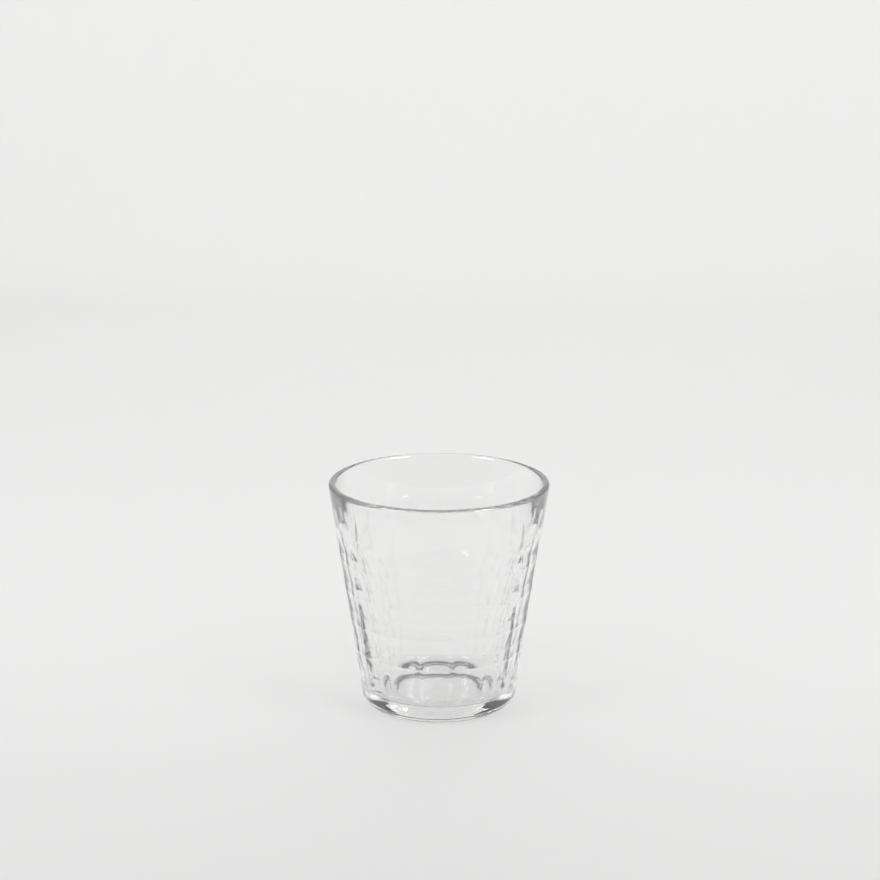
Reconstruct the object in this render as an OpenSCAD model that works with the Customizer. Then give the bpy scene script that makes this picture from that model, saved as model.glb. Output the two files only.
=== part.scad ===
// Pressed glass water tumbler: a tapered cup with a thick plain base, five rows of slightly
// dished facets set in a grid, and a plain band that ends in a rounded lip.
// Millimetres, +Z up, origin on the table at the centre of the base.

/* [Overall] */
// Height from the table to the top of the lip
height = 88; // [78:1:140]
// Widest outer diameter, at the lip
rim_diameter = 84; // [72:1:110]
// Outer diameter of the side cone where it is carried down to the table
foot_diameter = 58.5; // [50:0.5:70]
// Height of the plain band, from the highest row of facets to the top of the lip
band_height = 17; // [10:0.5:30]

/* [Wall] */
// Wall thickness at the lip, which the lip rounds over
rim_wall = 2.8; // [2:0.1:4]
// Wall thickness at the bend in the inner wall, above which the wall thins towards the lip
bend_wall = 4.2; // [3:0.1:6]
// Height from the bend to the top of the lip
bend_drop = 14; // [12:0.5:24]
// Length of the soft bend to each side of its middle
bend_reach = 8; // [2:0.5:9]
// Wall thickness level with the inner floor
foot_wall = 7; // [4:0.1:9]
// Height of the inner floor above the table
floor_height = 6; // [4:0.5:9]
// Radius of the round between the inner floor and the wall
floor_round = 4; // [2:0.5:12]

/* [Base] */
// Height of the plain base, up to the lowest row of facets
base_height = 11; // [9.5:0.5:20]
// Radius of the rounded heel
heel_round = 5; // [2:0.5:8]
// Width of the flat ring that the glass stands on
ring_width = 3.9; // [2:0.1:8]
// Depth of the shallow recess inside the ring
recess_depth = 1; // [0.5:0.1:2.5]
// Width of the recess's sloping edge
recess_slope = 3; // [0.5:0.1:6]

/* [Facets] */
// Number of facets round the glass
facet_count = 16; // [10:1:24]
// Depth of a facet at the lower edge of its row
facet_depth_low = 0.4; // [0.3:0.05:1.2]
// Depth of a facet at the upper edge of its row
facet_depth_high = 0.5; // [0.3:0.05:1.2]
// Extra depth of a facet half way up its row
facet_dish = 0.4; // [0.1:0.02:0.6]
// Share of the highest row's height above which its facets run out in arches
arch_start = 0.45; // [0.2:0.05:0.7]

/* [Hidden] */
$fn = 128;
glass_colour = [0.9, 0.93, 0.93, 0.5];
tier_count = 5;
// Straight pieces in each round of the section
arc_steps = 14;
// Straight pieces in the soft bend of the inner wall
bend_steps = 6;
// Straight pieces in the height of each facet
facet_steps = 4;
// How far the arched facets stand clear of the glass at the top of their row
arch_clear = 0.1;
// How far the lowest and the highest zone's limits lie outside the glass
overcut = 5;
// Direction that the first facet faces
front = -90;

// The rows of facets share the height between the base and the plain band
band_bottom = height - band_height;
tier_height = (band_bottom - base_height) / tier_count;

lip_round = rim_wall / 2;
lip_centre = [rim_diameter / 2 - lip_round, height - lip_round];

// The outer wall runs from the foot corner and touches the lip
foot_corner = [foot_diameter / 2, 0];
outer_angle = lip_angle(foot_corner, 1);

// The inner wall runs from the floor corner to the bend, and from there it touches the lip
floor_corner = [outer_radius(floor_height) - foot_wall, floor_height];
bend_corner = [outer_radius(height - bend_drop) - bend_wall, height - bend_drop];
inner_angle = atan2(bend_corner[1] - floor_corner[1], bend_corner[0] - floor_corner[0]);
mouth_angle = lip_angle(bend_corner, -1);

heel_centre = round_centre(foot_corner, outer_angle, heel_round);
recess_radius = heel_centre[0] - ring_width;

// Slope of the line from a point that touches the lip on its outer side (1) or its inner side (-1)
function lip_angle(point, side) =
    let (way = lip_centre - point)
    atan2(way[1], way[0]) - side * asin(lip_round / norm(way));

// Radius of the outer cone at a height
function outer_radius(z) = foot_corner[0] + z / tan(outer_angle);

// Lower edge of a row of facets, counted from 0 at the base
function tier_bottom(row) = base_height + row * tier_height;

// Share that rises from 0 at both ends of a row to 1 half way up it
function bulge(t) = 4 * t * (1 - t);

// Share that eases from 0 to 1
function ease(t) =
    let (s = min(max(t, 0), 1))
    s * s * (3 - 2 * s);

// Depth of a facet below the cone, at a share of its row's height
function facet_depth(row, t) =
    let (
        depth = facet_depth_low + (facet_depth_high - facet_depth_low) * t + facet_dish * bulge(t),
        left = 1 - ease((t - arch_start) / (1 - arch_start))
    )
    row < tier_count - 1 ? depth : depth * left - arch_clear * (1 - left);

// Centre of a round where a level line meets a rising line
function round_centre(corner, angle, radius) = corner + [-radius * tan(angle / 2), radius];

// Points along a round from one direction to another
function arc(centre, radius, from, to) =
    [for (i = [0 : arc_steps]) let (a = from + (to - from) * i / arc_steps) centre + radius * [cos(a), sin(a)]];

// Points along the soft bend of the inner wall, from above it to below it
function bend_points() =
    let (
        above = bend_corner + bend_reach * [cos(mouth_angle), sin(mouth_angle)],
        below = bend_corner - bend_reach * [cos(inner_angle), sin(inner_angle)]
    )
    [for (i = [0 : bend_steps])
        let (t = i / bend_steps)
        (1 - t) * (1 - t) * above + 2 * t * (1 - t) * bend_corner + t * t * below];

// Half section of the whole glass, from the recess up the outside, over the lip and down the inside
module glass_outline() {
    out = outer_angle - 90;
    polygon(concat(
        [[0, recess_depth], [recess_radius - recess_slope, recess_depth], [recess_radius, 0]],
        arc(heel_centre, heel_round, -90, out),
        arc(lip_centre, lip_round, out, mouth_angle + 90),
        bend_points(),
        arc(round_centre(floor_corner, inner_angle, floor_round), floor_round, inner_angle - 90, -90),
        [[0, floor_height]]));
}

// Ring of the glass between two heights
module zone(from, to) {
    rotate_extrude()
        intersection() {
            glass_outline();
            translate([0, from]) square([rim_diameter, to - from]);
        }
}

// Blocks that cut the facets of a row. The first and last straight pieces of each run on past the row
module facet_blocks(row) {
    face = [for (i = [0 : facet_steps])
        let (t = i / facet_steps, z = tier_bottom(row) + t * tier_height)
        [outer_radius(z) - facet_depth(row, t), z]];
    start = 2 * face[0] - face[1];
    end = 2 * face[facet_steps] - face[facet_steps - 1];
    block_width = rim_diameter * tan(180 / facet_count);
    profile = concat(
        [[rim_diameter, start[1]], start],
        [for (i = [1 : facet_steps - 1]) face[i]],
        [end, [rim_diameter, end[1]]]);
    for (i = [0 : facet_count - 1])
        rotate(front + i * 360 / facet_count)
            rotate([90, 0, 0])
                linear_extrude(height = block_width, center = true) polygon(profile);
}

// One row of facets
module facet_tier(row) {
    low = tier_bottom(row);
    difference() {
        zone(low, low + tier_height);
        facet_blocks(row);
    }
}

// Thick plain base with the rounded heel and the inner floor
module base() {
    color(glass_colour) zone(-overcut, base_height);
}

module facet_tier_1() {
    color(glass_colour) facet_tier(0);
}

module facet_tier_2() {
    color(glass_colour) facet_tier(1);
}

module facet_tier_3() {
    color(glass_colour) facet_tier(2);
}

module facet_tier_4() {
    color(glass_colour) facet_tier(3);
}

// Highest row, where the facets run out in arches
module facet_tier_5() {
    color(glass_colour) facet_tier(4);
}

// Plain band and the rounded lip
module rim_band() {
    color(glass_colour) zone(band_bottom, height + overcut);
}

base();
facet_tier_1();
facet_tier_2();
facet_tier_3();
facet_tier_4();
facet_tier_5();
rim_band();
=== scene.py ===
"""Clear pressed-glass water tumbler on a pale studio sweep.

The glass is one closed mesh, because the zones of the CAD model are one piece of glass and faces between
them would show through it. Its sizes are those of the CAD model, in millimetres, and are turned into
metres when the mesh is made. All other lengths are in metres.
"""
import math

import bpy
import numpy as np
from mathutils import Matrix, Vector


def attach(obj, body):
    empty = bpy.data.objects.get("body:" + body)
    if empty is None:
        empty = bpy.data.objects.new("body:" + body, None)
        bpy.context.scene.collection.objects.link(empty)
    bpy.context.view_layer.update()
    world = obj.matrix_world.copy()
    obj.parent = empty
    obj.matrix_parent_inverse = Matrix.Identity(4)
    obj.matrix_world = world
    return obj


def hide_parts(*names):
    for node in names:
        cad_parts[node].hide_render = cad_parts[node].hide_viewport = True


MM = 0.001
RIGHT_ANGLE = math.pi / 2

# Sizes of the glass, in millimetres, with its counts and the share of the highest row where the arches start
HEIGHT = 88.0
RIM_DIAMETER = 84.0
FOOT_DIAMETER = 58.5
BAND_HEIGHT = 17.0
RIM_WALL = 2.8
BEND_WALL = 4.2
BEND_DROP = 14.0
BEND_REACH = 8.0
FOOT_WALL = 7.0
FLOOR_HEIGHT = 6.0
FLOOR_ROUND = 4.0
BASE_HEIGHT = 11.0
HEEL_ROUND = 5.0
RING_WIDTH = 3.9
RECESS_DEPTH = 1.0
RECESS_SLOPE = 3.0
FACET_COUNT = 16
TIER_COUNT = 5
FACET_DEPTH_LOW = 0.4
FACET_DEPTH_HIGH = 0.5
FACET_DISH = 0.4
ARCH_START = 0.45

# Softness that pressing and fire polishing give the facets, in millimetres
ARRIS_SOFT = 0.35
LEDGE_SOFT = 0.2
SHOULDER = 1.6

# Mesh density: steps across a facet, then rings or steps in each stretch of the half section
FACET_STEPS = 20
RECESS_RINGS = 6
SLOPE_RINGS = 9
HEEL_RINGS = 14
BASE_RINGS = 6
SHOULDER_RINGS = 9
TIER_RINGS = 18
LEDGE_RINGS = 9
BAND_RINGS = 10
LIP_RINGS = 28
MOUTH_STEPS = 4
BEND_RINGS = 14
WALL_STEPS = 24
FLOOR_ROUND_RINGS = 28
FLOOR_RINGS = 8

# Glass
GLASS_INDEX = 1.52
ABSORPTION_TONE = 0.5
ABSORPTION_DENSITY = 7.0
SHADOW_TONE = 0.99

# Waves that the mould leaves in the glass, and the heights between which they grow from the wall to the base
WAVE_SCALE = 130.0
WAVE_DETAIL = 1.0
WAVE_DEPTH = 0.0005
WAVE_IN_WALL = 0.008
WAVE_IN_BASE = 0.25
WAVE_WALL_BOTTOM = 0.016
WAVE_BASE_TOP = 0.007

# Paper, with its greys at shares of the way from its near to its far limit; the darker greys in front and
# where it bends up are painted shade
PAPER_ROUGHNESS = 0.9
PAPER_NEAR = -0.2
PAPER_FAR = 1.2
PAPER_GREYS_AND_SHADE = ((0.0, 0.68), (0.18, 0.85), (0.45, 0.85), (0.7, 0.88), (0.86, 0.77), (1.0, 0.72))
PAPER_BLUE = 0.994
FIBRE_SCALE = 900.0
FIBRE_DETAIL = 3.0
FIBRE_DARK = 0.985
FIBRE_LIGHT = 1.015
FIBRE_BUMP = 0.05
FIBRE_DEPTH = 0.0002

# Places of the sockets of mix nodes, whose names aren't unique
SHADER_A = 1
SHADER_B = 2
COLOUR_A = 6
COLOUR_B = 7
COLOUR_RESULT = 2

# Sweep: a floor, and a backdrop that rises from it in a curve and flares above a height
SWEEP_LEVEL = -0.0001
FLOOR_REACH = 3.0
FLOOR_HALF = 2.5
BACKDROP_LEFT = -0.5
BACKDROP_RIGHT = 0.52
BACKDROP_HEIGHTS = (0.6, 0.75, 1.0)
CURVE_START = 0.8
CURVE_ROUND = 0.5
CURVE_ROWS = 25
FLARE_START = 0.4
FLARE = 2.5

# Light: two softboxes, and a room that is lighter at the horizon than above it
LAMP_SIDE = 2.52
LAMP_FRONT = -1.64
LAMP_HEIGHT = 2.63
LAMP_TARGET = (0, 0, 0.05)
LAMP_SIZE = 1.5
LEFT_POWER = 106
RIGHT_POWER = 112
ROOM_AT_HORIZON = 0.65
ROOM_ABOVE = 0.12
ROOM_FADE = 0.22
LIGHT_BOUNCES = 48

# Camera, with its focal length and the row of the point it is aimed by in pixels of a square frame
FRAME_PX = 880
FOCAL_PX = 2151.0
AIM_ROW_PX = 592.9
SHIFT_PX = 1.0
SENSOR_WIDTH = 36.0
CAMERA_DISTANCE = 0.8302
CAMERA_ELEVATION = math.radians(18.39)
CAMERA_AZIMUTH = math.radians(2.0)
AIM_HEIGHT = 0.043

TIER_HEIGHT = (HEIGHT - BAND_HEIGHT - BASE_HEIGHT) / TIER_COUNT
LIP_ROUND = RIM_WALL / 2
LIP_CENTRE = np.array([RIM_DIAMETER / 2 - LIP_ROUND, HEIGHT - LIP_ROUND])


def lip_angle(point, side):
    """Slope of the line from a point that touches the lip on its outer (1) or inner (-1) side."""
    way = LIP_CENTRE - point
    return math.atan2(way[1], way[0]) - side * math.asin(LIP_ROUND / np.hypot(*way))


# The outer wall runs from the foot corner and touches the lip
FOOT_CORNER = np.array([FOOT_DIAMETER / 2, 0.0])
OUTER_ANGLE = lip_angle(FOOT_CORNER, 1)


def outer_radius(z):
    """Radius of the outer cone at a height."""
    return FOOT_CORNER[0] + z / math.tan(OUTER_ANGLE)


# The inner wall runs from the floor corner to the bend, and from there it touches the lip
FLOOR_CORNER = np.array([outer_radius(FLOOR_HEIGHT) - FOOT_WALL, FLOOR_HEIGHT])
BEND_CORNER = np.array([outer_radius(HEIGHT - BEND_DROP) - BEND_WALL, HEIGHT - BEND_DROP])
INNER_ANGLE = math.atan2(BEND_CORNER[1] - FLOOR_CORNER[1], BEND_CORNER[0] - FLOOR_CORNER[0])
MOUTH_ANGLE = lip_angle(BEND_CORNER, -1)


def smooth_step(t):
    """Share that eases from 0 to 1."""
    t = min(max(t, 0.0), 1.0)
    return t * t * (3 - 2 * t)


def soft_min(a, b, width):
    """The smaller of two values, with the change from one to the other rounded over a width."""
    h = np.clip(0.5 + 0.5 * (b - a) / width, 0, 1)
    return b * (1 - h) + a * h - width * h * (1 - h)


def tier_radius(row, angle, z):
    """Radius of one row of facets at angles and a height. Below and above the rows it is the plain cone."""
    cone = np.full_like(angle, outer_radius(z))
    if row < 0 or row >= TIER_COUNT:
        return cone
    t = (z - BASE_HEIGHT) / TIER_HEIGHT - row
    depth = FACET_DEPTH_LOW + (FACET_DEPTH_HIGH - FACET_DEPTH_LOW) * t + FACET_DISH * 4 * t * (1 - t)
    if row == TIER_COUNT - 1:
        depth *= 1 - smooth_step((t - ARCH_START) / (1 - ARCH_START))
    step = 2 * math.pi / FACET_COUNT
    across = (angle + step / 2) % step - step / 2
    return soft_min((cone - depth) / np.cos(across), cone, ARRIS_SOFT)


def side_radius(angle, z):
    """Radius of the outside, with each row of facets easing into the next over a soft ledge."""
    row = round((z - BASE_HEIGHT) / TIER_HEIGHT)
    line = BASE_HEIGHT + row * TIER_HEIGHT
    start, end = (line - SHOULDER, line) if row == 0 else (line - LEDGE_SOFT, line + LEDGE_SOFT)
    blend = smooth_step((z - start) / (end - start))
    return tier_radius(row - 1, angle, z) * (1 - blend) + tier_radius(row, angle, z) * blend


def direction(angle):
    """Direction at an angle in the half section."""
    return np.array([math.cos(angle), math.sin(angle)])


def after(start, end, count):
    """Evenly spaced values from a start to an end, without the start."""
    return list(np.linspace(start, end, count)[1:])


def straight(start, end, steps):
    """Points that divide a straight line into steps, without its two ends."""
    return [start + (end - start) * t for t in np.linspace(0, 1, steps + 1)[1:-1]]


def arc(centre, radius, start, end, count):
    """Points of a round in the half section, from one direction to another."""
    return [centre + radius * direction(a) for a in np.linspace(start, end, count)]


def round_centre(corner, angle, radius):
    """Centre of a round where a level line meets a rising line."""
    return corner + np.array([-radius * math.tan(angle / 2), radius])


def bend_points():
    """Points along the soft bend of the inner wall, from above it to below it."""
    above = BEND_CORNER + BEND_REACH * direction(MOUTH_ANGLE)
    below = BEND_CORNER - BEND_REACH * direction(INNER_ANGLE)
    shares = np.linspace(0, 1, BEND_RINGS)
    return [(1 - t) ** 2 * above + 2 * t * (1 - t) * BEND_CORNER + t ** 2 * below for t in shares]


def under_section():
    """Half section of the underside, from beside its middle to the top of the heel."""
    heel = round_centre(FOOT_CORNER, OUTER_ANGLE, HEEL_ROUND)
    recess = heel[0] - RING_WIDTH
    # Smooth shading over the wide faces on both sides of the recess's slope keeps its two edges soft
    section = [(r, RECESS_DEPTH) for r in after(0, recess - RECESS_SLOPE, RECESS_RINGS)]
    for t in after(0, 1, SLOPE_RINGS):
        section.append((recess - RECESS_SLOPE * (1 - t), RECESS_DEPTH * (1 - t)))
    return section + arc(heel, HEEL_ROUND, -RIGHT_ANGLE, OUTER_ANGLE - RIGHT_ANGLE, HEEL_RINGS)


def side_heights(start, end):
    """Heights of the rings on the outside, between the heel and the lip."""
    shoulder = BASE_HEIGHT - SHOULDER
    heights = after(start, shoulder, BASE_RINGS) + after(shoulder, BASE_HEIGHT, SHOULDER_RINGS)
    for row in range(TIER_COUNT):
        low = BASE_HEIGHT + row * TIER_HEIGHT
        high = low + TIER_HEIGHT
        if row == 0:
            heights += after(low, high - LEDGE_SOFT, TIER_RINGS)
        else:
            heights += list(np.linspace(low + LEDGE_SOFT, high - LEDGE_SOFT, TIER_RINGS))
        heights += after(high - LEDGE_SOFT, high + LEDGE_SOFT, LEDGE_RINGS)[:-1]
    return heights + list(np.linspace(heights[-1] + LEDGE_SOFT, end, BAND_RINGS)[:-1])


def inside_section(start):
    """Half section of the inside, from a point on the lip to beside the middle of the inner floor."""
    bend = bend_points()
    centre = round_centre(FLOOR_CORNER, INNER_ANGLE, FLOOR_ROUND)
    floor = arc(centre, FLOOR_ROUND, INNER_ANGLE - RIGHT_ANGLE, -RIGHT_ANGLE, FLOOR_ROUND_RINGS)
    section = straight(start, bend[0], MOUTH_STEPS) + bend + straight(bend[-1], floor[0], WALL_STEPS) + floor
    return section + [(r, FLOOR_HEIGHT) for r in after(floor[-1][0], 0, FLOOR_RINGS)[:-1]]


def glass_rings(angle):
    """Rings of radius and height, from the underside over the lip to the inner floor."""
    plain = np.ones_like(angle)
    under = under_section()
    lip = arc(LIP_CENTRE, LIP_ROUND, OUTER_ANGLE - RIGHT_ANGLE, MOUTH_ANGLE + RIGHT_ANGLE, LIP_RINGS)
    rings = [(r * plain, z) for r, z in under]
    rings += [(side_radius(angle, z), z) for z in side_heights(under[-1][1], lip[0][1])]
    rings += [(r * plain, z) for r, z in lip + inside_section(lip[-1])]
    return rings


def add_mesh(name, points, faces):
    """Smooth-shaded object in the scene, from points and faces."""
    mesh = bpy.data.meshes.new(name)
    mesh.from_pydata(points, [], faces)
    mesh.polygons.foreach_set("use_smooth", [True] * len(faces))
    mesh.update()
    piece = bpy.data.objects.new(name, mesh)
    bpy.context.scene.collection.objects.link(piece)
    return piece


def make_tumbler():
    """The glass as one closed mesh of rings, with a fan at the middle of the underside and of the floor."""
    count = FACET_COUNT * FACET_STEPS
    angle = np.arange(count) * 2 * math.pi / count
    rings = glass_rings(angle)
    points = [(0.0, 0.0, RECESS_DEPTH)]
    for radius, z in rings:
        points += [(r * math.sin(a), -r * math.cos(a), z) for r, a in zip(radius, angle)]
    points.append((0.0, 0.0, FLOOR_HEIGHT))
    first_ring = 1
    last_ring = first_ring + (len(rings) - 1) * count
    floor_middle = len(points) - 1
    faces = []
    for i in range(count):
        k = (i + 1) % count
        faces.append((0, first_ring + k, first_ring + i))
        for low in range(first_ring, last_ring, count):
            high = low + count
            faces.append((low + i, low + k, high + k, high + i))
        faces.append((last_ring + i, last_ring + k, floor_middle))
    return add_mesh("tumbler", [(x * MM, y * MM, z * MM) for x, y, z in points], faces)


def grey(tone):
    """Colour of a grey tone."""
    return (tone, tone, tone, 1.0)


def set_inputs(node, values):
    """Puts plain values at a node's inputs."""
    for name, value in values.items():
        node.inputs[name].default_value = value


def add_node(tree, kind, values=None):
    """New node with plain values at some of its inputs."""
    node = tree.nodes.new(kind)
    set_inputs(node, values or {})
    return node


def new_material(name):
    """New material, with its nodes and its main shader."""
    material = bpy.data.materials.new(name)
    material.use_nodes = True
    return material, material.node_tree, material.node_tree.nodes["Principled BSDF"]


def glass_material():
    """Clear soda-lime glass with the faint waviness of a pressed surface."""
    material, tree, shader = new_material("clear_glass")
    join = tree.links.new
    output = tree.nodes["Material Output"]
    set_inputs(shader, {
        "Base Color": grey(1.0),
        "Transmission Weight": 1.0,
        "Roughness": 0.0,
        "IOR": GLASS_INDEX,
    })

    # Waves that the mould leaves, stronger in the thick base than in the wall
    place = add_node(tree, "ShaderNodeTexCoord")
    waves = add_node(tree, "ShaderNodeTexNoise", {"Scale": WAVE_SCALE, "Detail": WAVE_DETAIL})
    join(place.outputs["Object"], waves.inputs["Vector"])
    split = add_node(tree, "ShaderNodeSeparateXYZ")
    join(place.outputs["Object"], split.inputs["Vector"])
    strength = add_node(tree, "ShaderNodeMapRange", {
        "From Min": WAVE_WALL_BOTTOM,
        "From Max": WAVE_BASE_TOP,
        "To Min": WAVE_IN_WALL,
        "To Max": WAVE_IN_BASE,
    })
    join(split.outputs["Z"], strength.inputs["Value"])
    bump = add_node(tree, "ShaderNodeBump", {"Distance": WAVE_DEPTH})
    join(strength.outputs["Result"], bump.inputs["Strength"])
    join(waves.outputs["Fac"], bump.inputs["Height"])
    join(bump.outputs["Normal"], shader.inputs["Normal"])

    # The glass takes a little light over long ways through it, which draws the lip and the edges
    absorption = add_node(tree, "ShaderNodeVolumeAbsorption", {
        "Color": grey(ABSORPTION_TONE),
        "Density": ABSORPTION_DENSITY,
    })
    join(absorption.outputs["Volume"], output.inputs["Volume"])

    # Lamps shine through to the floor, so that the glass casts a light shadow
    clear = add_node(tree, "ShaderNodeBsdfTransparent", {"Color": grey(SHADOW_TONE)})
    path = add_node(tree, "ShaderNodeLightPath")
    mix = add_node(tree, "ShaderNodeMixShader")
    join(path.outputs["Is Shadow Ray"], mix.inputs["Fac"])
    join(shader.outputs["BSDF"], mix.inputs[SHADER_A])
    join(clear.outputs["BSDF"], mix.inputs[SHADER_B])
    join(mix.outputs["Shader"], output.inputs["Surface"])
    return material


def paper_material():
    """Pale matt paper with a faint fibre, and painted shade that makes it a little darker in front and where
    it bends up.
    """
    material, tree, shader = new_material("pale_paper")
    join = tree.links.new
    set_inputs(shader, {"Roughness": PAPER_ROUGHNESS})
    place = add_node(tree, "ShaderNodeTexCoord")
    split = add_node(tree, "ShaderNodeSeparateXYZ")
    join(place.outputs["Object"], split.inputs["Vector"])
    # Painted shade: the greys darken the paper in front and where it bends up
    depth = add_node(tree, "ShaderNodeMapRange", {"From Min": PAPER_NEAR, "From Max": PAPER_FAR})
    join(split.outputs["Y"], depth.inputs["Value"])
    tone = add_node(tree, "ShaderNodeValToRGB")
    tone.color_ramp.interpolation = "B_SPLINE"
    stops = tone.color_ramp.elements
    for share, _ in PAPER_GREYS_AND_SHADE[1:-1]:
        stops.new(share)
    for stop, (_, level) in zip(stops, PAPER_GREYS_AND_SHADE):
        stop.color = (level, level, level * PAPER_BLUE, 1.0)
    join(depth.outputs["Result"], tone.inputs["Fac"])

    # Fibre, as a faint change of tone and a faint relief
    fibre = add_node(tree, "ShaderNodeTexNoise", {"Scale": FIBRE_SCALE, "Detail": FIBRE_DETAIL})
    join(place.outputs["Object"], fibre.inputs["Vector"])
    shade = add_node(tree, "ShaderNodeMapRange", {"To Min": FIBRE_DARK, "To Max": FIBRE_LIGHT})
    join(fibre.outputs["Fac"], shade.inputs["Value"])
    tint = add_node(tree, "ShaderNodeMix", {"Factor": 1.0})
    tint.data_type = "RGBA"
    tint.blend_type = "MULTIPLY"
    join(tone.outputs["Color"], tint.inputs[COLOUR_A])
    join(shade.outputs["Result"], tint.inputs[COLOUR_B])
    join(tint.outputs[COLOUR_RESULT], shader.inputs["Base Color"])
    bump = add_node(tree, "ShaderNodeBump", {"Strength": FIBRE_BUMP, "Distance": FIBRE_DEPTH})
    join(fibre.outputs["Fac"], bump.inputs["Height"])
    join(bump.outputs["Normal"], shader.inputs["Normal"])
    return material


def make_sweep():
    """Wide floor, and a narrower backdrop that rises from it in a curve and flares towards its top."""
    columns = (-FLOOR_HALF, BACKDROP_LEFT, BACKDROP_RIGHT, FLOOR_HALF)
    width = len(columns)
    points = [(x, y, SWEEP_LEVEL) for y in (-FLOOR_REACH, CURVE_START, FLOOR_REACH) for x in columns]
    # Three floor panels in front and one on each side behind, by their first corners
    corners = (0, 1, 2, width, width + 2)
    faces = [(c, c + 1, c + width + 1, c + width) for c in corners]
    rise = [
        (CURVE_START + CURVE_ROUND * math.sin(a), SWEEP_LEVEL + CURVE_ROUND - CURVE_ROUND * math.cos(a))
        for a in after(0, RIGHT_ANGLE, CURVE_ROWS)
    ]
    rise += [(CURVE_START + CURVE_ROUND, z) for z in BACKDROP_HEIGHTS]
    low = (width + 1, width + 2)
    for y, z in rise:
        wider = 1 + FLARE * max(0.0, z - FLARE_START)
        points += [(BACKDROP_LEFT * wider, y, z), (BACKDROP_RIGHT * wider, y, z)]
        high = (len(points) - 2, len(points) - 1)
        faces.append((low[0], low[1], high[1], high[0]))
        low = high
    sweep = add_mesh("sweep", points, faces)
    sweep.data.materials.append(paper_material())


def make_lamp(name, place, power):
    """Square softbox that faces the glass."""
    lamp = bpy.data.lights.new(name, "AREA")
    lamp.shape = "RECTANGLE"
    lamp.size = LAMP_SIZE
    lamp.size_y = LAMP_SIZE
    lamp.energy = power
    thing = bpy.data.objects.new(name, lamp)
    thing.location = place
    thing.rotation_euler = (Vector(LAMP_TARGET) - Vector(place)).to_track_quat("-Z", "Y").to_euler()
    bpy.context.scene.collection.objects.link(thing)


def make_light():
    """Two distant softboxes in a dim room that is lighter near the horizon."""
    world = bpy.data.worlds.new("studio")
    bpy.context.scene.world = world
    world.use_nodes = True
    tree = world.node_tree
    join = tree.links.new
    background = tree.nodes["Background"]
    set_inputs(background, {"Color": grey(1.0)})
    place = add_node(tree, "ShaderNodeTexCoord")
    split = add_node(tree, "ShaderNodeSeparateXYZ")
    join(place.outputs["Generated"], split.inputs["Vector"])
    fade = add_node(tree, "ShaderNodeMapRange", {
        "From Max": ROOM_FADE,
        "To Min": ROOM_AT_HORIZON,
        "To Max": ROOM_ABOVE,
    })
    fade.interpolation_type = "SMOOTHSTEP"
    join(split.outputs["Z"], fade.inputs["Value"])
    join(fade.outputs["Result"], background.inputs["Strength"])
    make_lamp("softbox_left", (-LAMP_SIDE, LAMP_FRONT, LAMP_HEIGHT), LEFT_POWER)
    make_lamp("softbox_right", (LAMP_SIDE, LAMP_FRONT, LAMP_HEIGHT), RIGHT_POWER)


def make_camera():
    """Camera at the photograph's angle."""
    data = bpy.data.cameras.new("camera")
    data.sensor_width = SENSOR_WIDTH
    data.lens = FOCAL_PX / FRAME_PX * data.sensor_width
    data.shift_x = SHIFT_PX / FRAME_PX
    camera = bpy.data.objects.new("camera", data)
    reach = CAMERA_DISTANCE * math.cos(CAMERA_ELEVATION)
    rise = CAMERA_DISTANCE * math.sin(CAMERA_ELEVATION)
    camera.location = (reach * math.sin(CAMERA_AZIMUTH), -reach * math.cos(CAMERA_AZIMUTH), AIM_HEIGHT + rise)
    pitch = CAMERA_ELEVATION - math.atan2(AIM_ROW_PX - FRAME_PX / 2, FOCAL_PX)
    camera.rotation_euler = (RIGHT_ANGLE - pitch, 0, CAMERA_AZIMUTH)
    bpy.context.scene.collection.objects.link(camera)
    bpy.context.scene.camera = camera


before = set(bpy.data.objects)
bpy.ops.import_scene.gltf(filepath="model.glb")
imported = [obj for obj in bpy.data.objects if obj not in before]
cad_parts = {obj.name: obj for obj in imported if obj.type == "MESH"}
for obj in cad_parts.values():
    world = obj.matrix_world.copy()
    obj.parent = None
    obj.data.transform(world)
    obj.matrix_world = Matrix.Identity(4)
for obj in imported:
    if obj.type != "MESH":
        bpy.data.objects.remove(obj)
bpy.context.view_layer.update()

tumbler = make_tumbler()
tumbler.data.materials.append(glass_material())
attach(tumbler, "root")
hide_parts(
    "base", "facet_tier_1", "facet_tier_2", "facet_tier_3", "facet_tier_4", "facet_tier_5", "rim_band")

make_sweep()
make_light()
make_camera()

scene = bpy.context.scene
scene.view_settings.view_transform = "Standard"
scene.cycles.max_bounces = LIGHT_BOUNCES
scene.cycles.transmission_bounces = LIGHT_BOUNCES
scene.cycles.glossy_bounces = LIGHT_BOUNCES
scene.cycles.caustics_refractive = False
scene.cycles.caustics_reflective = False
